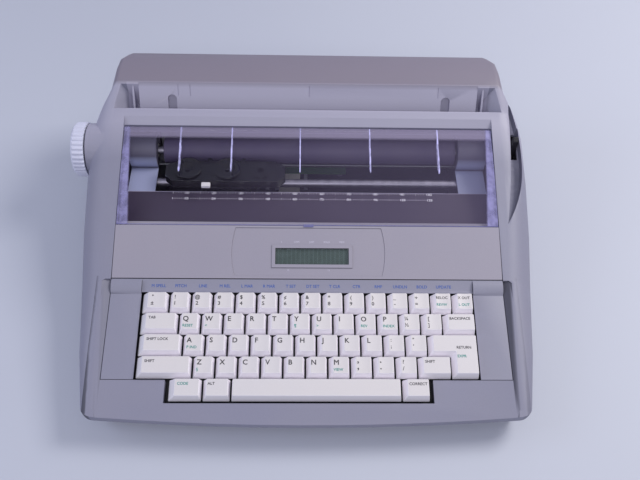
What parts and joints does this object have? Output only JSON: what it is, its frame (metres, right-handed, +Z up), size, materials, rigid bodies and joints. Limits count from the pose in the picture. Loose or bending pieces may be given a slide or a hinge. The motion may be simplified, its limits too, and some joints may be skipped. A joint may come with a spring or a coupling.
{
  "type": "electronic typewriter",
  "caption": "Portable electronic daisy wheel typewriter with a display, a smoked dust cover, a full keyboard and a platen with its print carriage.",
  "frame": {"origin": "middle of the whole machine's box in X and Y, on the table under its feet", "axes": "+X to the typist's right, +Y to the back of the machine, +Z up"},
  "size_m": [0.4306, 0.3574, 0.122],
  "materials": {
    "case_plastic": "fine textured",
    "panel_plastic": "fine textured",
    "key_plastic": "satin",
    "smoked_plastic": "polished, see through",
    "clear_window": "polished",
    "lcd": "satin",
    "dark_plastic": "satin",
    "platen_rubber": "ground",
    "feed_rubber": "moulded",
    "shaft_steel": "ground",
    "sheet_steel": "zinc plated",
    "gear_plastic": "satin",
    "motor_case": "satin",
    "cassette_plastic": "moulded",
    "type_plastic": "moulded",
    "board": "solder resist",
    "core_iron": "varnished",
    "foot_rubber": "moulded",
    "screw_steel": "blackened",
    "knob_plastic": "satin"
  },
  "bodies": {
    "case": {"upper_case": "case_plastic", "lower_case": "case_plastic", "keyboard_frame": "case_plastic", "keyboard_plate": "dark_plastic", "dome_sheet": "feed_rubber", "display_panel": "panel_plastic", "display_window": "clear_window", "lcd_module": "lcd", "scale_plate": "dark_plastic", "platen_bushes": "gear_plastic", "paper_pan": "sheet_steel", "left_side_plate": "sheet_steel", "right_side_plate": "sheet_steel", "left_platen_cover": "case_plastic", "right_platen_cover": "case_plastic", "feed_motor": "motor_case", "carriage_rail": "shaft_steel", "guide_rail": "sheet_steel", "timing_belt": "foot_rubber", "carriage_motor": "motor_case", "switch_body": "dark_plastic", "cord_inlet": "foot_rubber", "main_board": "board", "transformer": "core_iron", "flat_cable": "gear_plastic", "rubber_feet": "foot_rubber", "case_screws": "screw_steel"},
    "dust_cover": {"dust_cover": "smoked_plastic"},
    "platen": {"platen_roller": "platen_rubber", "platen_shaft": "shaft_steel", "platen_knob": "knob_plastic", "platen_gear": "gear_plastic"},
    "idler": {"idler_gear": "gear_plastic"},
    "pinion": {"motor_pinion": "gear_plastic"},
    "feed_rollers": {"feed_rollers": "feed_rubber"},
    "release_lever": {"release_lever": "case_plastic"},
    "carriage": {"carriage_frame": "dark_plastic", "ribbon_cassette": "cassette_plastic", "wheel_motor": "motor_case"},
    "daisy_wheel": {"daisy_wheel": "type_plastic"},
    "print_hammer": {"print_hammer": "shaft_steel"},
    "supply_reel": {"supply_reel": "gear_plastic"},
    "takeup_reel": {"takeup_reel": "gear_plastic"},
    "drive_pulley": {"drive_pulley": "gear_plastic"},
    "idler_pulley": {"idler_pulley": "gear_plastic"},
    "power_switch": {"power_switch": "dark_plastic"},
    "number_keys": {"number_keys": "key_plastic"},
    "upper_letter_keys": {"upper_letter_keys": "key_plastic"},
    "home_letter_keys": {"home_letter_keys": "key_plastic"},
    "lower_letter_keys": {"lower_letter_keys": "key_plastic"},
    "tab_key": {"tab_key": "key_plastic"},
    "backspace_key": {"backspace_key": "key_plastic"},
    "shift_lock_key": {"shift_lock_key": "key_plastic"},
    "return_key": {"return_key": "key_plastic"},
    "left_shift_key": {"left_shift_key": "key_plastic"},
    "right_shift_key": {"right_shift_key": "key_plastic"},
    "code_key": {"code_key": "key_plastic"},
    "alt_key": {"alt_key": "key_plastic"},
    "space_bar": {"space_bar": "key_plastic"},
    "correct_key": {"correct_key": "key_plastic"}
  },
  "joints": [
    {"name": "cover_hinge", "type": "hinge", "parent": "case", "child": "dust_cover", "pos_m": [0.00725, 0.0857, 0.0952], "axis": [-1, 0, 0], "range_deg": [0, 70]},
    {"name": "platen_turn", "type": "hinge", "parent": "case", "child": "platen", "pos_m": [0.00725, 0.0821, 0.07], "axis": [1, 0, 0], "continuous": true},
    {"name": "idler_turn", "type": "hinge", "parent": "case", "child": "idler", "pos_m": [0.15925, 0.09065, 0.04651], "axis": [1, 0, 0], "continuous": true},
    {"name": "pinion_turn", "type": "hinge", "parent": "case", "child": "pinion", "pos_m": [0.15925, 0.10662, 0.04069], "axis": [1, 0, 0], "continuous": true},
    {"name": "feed_turn", "type": "hinge", "parent": "case", "child": "feed_rollers", "pos_m": [0.00725, 0.09153, 0.05491], "axis": [1, 0, 0], "continuous": true},
    {"name": "release_pull", "type": "hinge", "parent": "case", "child": "release_lever", "pos_m": [0.20525, 0.0821, 0.062], "axis": [1, 0, 0], "range_deg": [0, 18]},
    {"name": "carriage_travel", "type": "slide", "parent": "case", "child": "carriage", "axis": [1, 0, 0], "range_m": [-0.034, 0.19]},
    {"name": "wheel_turn", "type": "hinge", "parent": "carriage", "child": "daisy_wheel", "pos_m": [-0.07075, 0.0653, 0.043], "axis": [0, 1, 0], "continuous": true},
    {"name": "hammer_strike", "type": "slide", "parent": "carriage", "child": "print_hammer", "axis": [0, 1, 0], "range_m": [0, 0.0025], "stiffness_N_per_m": 120, "springref_m": -0.001},
    {"name": "takeup_turn", "type": "hinge", "parent": "carriage", "child": "takeup_reel", "pos_m": [-0.05825, 0.0261, 0.0455], "axis": [0, 1, 0], "continuous": true},
    {"name": "supply_turn", "type": "hinge", "parent": "carriage", "child": "supply_reel", "pos_m": [-0.08325, 0.0261, 0.0455], "axis": [0, 1, 0], "continuous": true},
    {"name": "drive_turn", "type": "hinge", "parent": "case", "child": "drive_pulley", "pos_m": [-0.14875, 0.0201, 0.028], "axis": [0, 0, 1], "continuous": true},
    {"name": "idler_pulley_turn", "type": "hinge", "parent": "case", "child": "idler_pulley", "pos_m": [0.16325, 0.0201, 0.028], "axis": [0, 0, 1], "continuous": true},
    {"name": "switch_rock", "type": "hinge", "parent": "case", "child": "power_switch", "pos_m": [0.13125, 0.1731, 0.052], "axis": [-1, 0, 0], "range_deg": [0, 10]},
    {"name": "number_keys_press", "type": "slide", "parent": "case", "child": "number_keys", "axis": [0, 0.1736, -0.9848], "range_m": [0, 0.0035], "stiffness_N_per_m": 1800, "springref_m": -0.002},
    {"name": "upper_letter_keys_press", "type": "slide", "parent": "case", "child": "upper_letter_keys", "axis": [0, 0.1736, -0.9848], "range_m": [0, 0.0035], "stiffness_N_per_m": 1440, "springref_m": -0.002},
    {"name": "home_letter_keys_press", "type": "slide", "parent": "case", "child": "home_letter_keys", "axis": [0, 0.1736, -0.9848], "range_m": [0, 0.0035], "stiffness_N_per_m": 1320, "springref_m": -0.002},
    {"name": "lower_letter_keys_press", "type": "slide", "parent": "case", "child": "lower_letter_keys", "axis": [0, 0.1736, -0.9848], "range_m": [0, 0.0035], "stiffness_N_per_m": 1200, "springref_m": -0.002},
    {"name": "tab_press", "type": "slide", "parent": "case", "child": "tab_key", "axis": [0, 0.1736, -0.9848], "range_m": [0, 0.0035], "stiffness_N_per_m": 200, "springref_m": -0.002},
    {"name": "backspace_press", "type": "slide", "parent": "case", "child": "backspace_key", "axis": [0, 0.1736, -0.9848], "range_m": [0, 0.0035], "stiffness_N_per_m": 200, "springref_m": -0.002},
    {"name": "shift_lock_press", "type": "slide", "parent": "case", "child": "shift_lock_key", "axis": [0, 0.1736, -0.9848], "range_m": [0, 0.0035], "stiffness_N_per_m": 200, "springref_m": -0.002},
    {"name": "return_press", "type": "slide", "parent": "case", "child": "return_key", "axis": [0, 0.1736, -0.9848], "range_m": [0, 0.0035], "stiffness_N_per_m": 200, "springref_m": -0.002},
    {"name": "left_shift_press", "type": "slide", "parent": "case", "child": "left_shift_key", "axis": [0, 0.1736, -0.9848], "range_m": [0, 0.0035], "stiffness_N_per_m": 200, "springref_m": -0.002},
    {"name": "right_shift_press", "type": "slide", "parent": "case", "child": "right_shift_key", "axis": [0, 0.1736, -0.9848], "range_m": [0, 0.0035], "stiffness_N_per_m": 200, "springref_m": -0.002},
    {"name": "code_press", "type": "slide", "parent": "case", "child": "code_key", "axis": [0, 0.1736, -0.9848], "range_m": [0, 0.0035], "stiffness_N_per_m": 200, "springref_m": -0.002},
    {"name": "alt_press", "type": "slide", "parent": "case", "child": "alt_key", "axis": [0, 0.1736, -0.9848], "range_m": [0, 0.0035], "stiffness_N_per_m": 200, "springref_m": -0.002},
    {"name": "space_bar_press", "type": "slide", "parent": "case", "child": "space_bar", "axis": [0, 0.1736, -0.9848], "range_m": [0, 0.0035], "stiffness_N_per_m": 240, "springref_m": -0.002},
    {"name": "correct_press", "type": "slide", "parent": "case", "child": "correct_key", "axis": [0, 0.1736, -0.9848], "range_m": [0, 0.0035], "stiffness_N_per_m": 200, "springref_m": -0.002}
  ],
  "couplings": [
    {"joint": "idler_turn", "follows": "platen_turn", "ratio": -1.2727},
    {"joint": "pinion_turn", "follows": "platen_turn", "ratio": 2.3333},
    {"joint": "feed_turn", "follows": "platen_turn", "ratio": -2.5},
    {"joint": "supply_turn", "follows": "takeup_turn", "ratio": 1},
    {"joint": "drive_turn", "follows": "carriage_travel", "rad_per_m": -125},
    {"joint": "idler_pulley_turn", "follows": "carriage_travel", "rad_per_m": -125}
  ]
}
